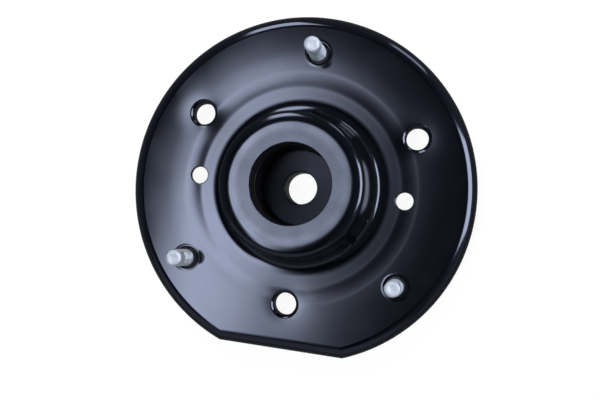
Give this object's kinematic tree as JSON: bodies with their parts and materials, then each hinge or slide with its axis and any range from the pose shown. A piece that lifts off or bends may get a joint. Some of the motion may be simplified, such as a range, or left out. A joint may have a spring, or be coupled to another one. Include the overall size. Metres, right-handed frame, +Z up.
{
  "type": "strut mount",
  "caption": "Upper strut mount: pressed round plate with one straight side, threaded studs, a tall dome over a rubber isolator, and an inner cup with a ball bearing for the rod.",
  "frame": {"origin": "on the rod's axis at the level of the plate's flat top face, which is also the rod nut's seat", "axes": "+Z up along the rod's axis towards the body, +Y towards the first stud, -Y towards the straight side of the plate"},
  "size_m": [0.208, 0.201, 0.058],
  "materials": {
    "black_paint": "gloss black paint",
    "satin_black": "satin black paint",
    "matte_black": "matte black coating",
    "zinc_plate": "bright zinc plating",
    "bearing_steel": "ground bearing steel",
    "cage_sheet": "plain pressed steel",
    "moulded_rubber": "matte moulded rubber",
    "seal_rubber": "matte rubber"
  },
  "bodies": {
    "housing": {"upper_plate": "black_paint", "stud_1": "zinc_plate", "stud_2": "zinc_plate", "stud_3": "zinc_plate", "rubber_isolator": "moulded_rubber", "inner_cup": "satin_black", "lower_retainer": "satin_black", "bearing_outer_ring": "bearing_steel", "upper_seal": "seal_rubber", "lower_seal": "seal_rubber"},
    "rod_seat": {"bearing_inner_ring": "bearing_steel", "seat_washer": "matte_black"},
    "ball_set": {"ball_cage": "cage_sheet", "ball_1": "bearing_steel", "ball_2": "bearing_steel", "ball_3": "bearing_steel", "ball_4": "bearing_steel", "ball_5": "bearing_steel", "ball_6": "bearing_steel", "ball_7": "bearing_steel", "ball_8": "bearing_steel"}
  },
  "joints": [
    {"name": "rod_turn", "type": "hinge", "parent": "housing", "child": "rod_seat", "pos_m": [0, 0, -0.01], "axis": [0, 0, 1], "continuous": true},
    {"name": "ball_set_turn", "type": "hinge", "parent": "housing", "child": "ball_set", "pos_m": [0, 0, -0.01], "axis": [0, 0, 1], "continuous": true}
  ],
  "couplings": [
    {"joint": "ball_set_turn", "follows": "rod_turn", "ratio": 0.3889}
  ]
}
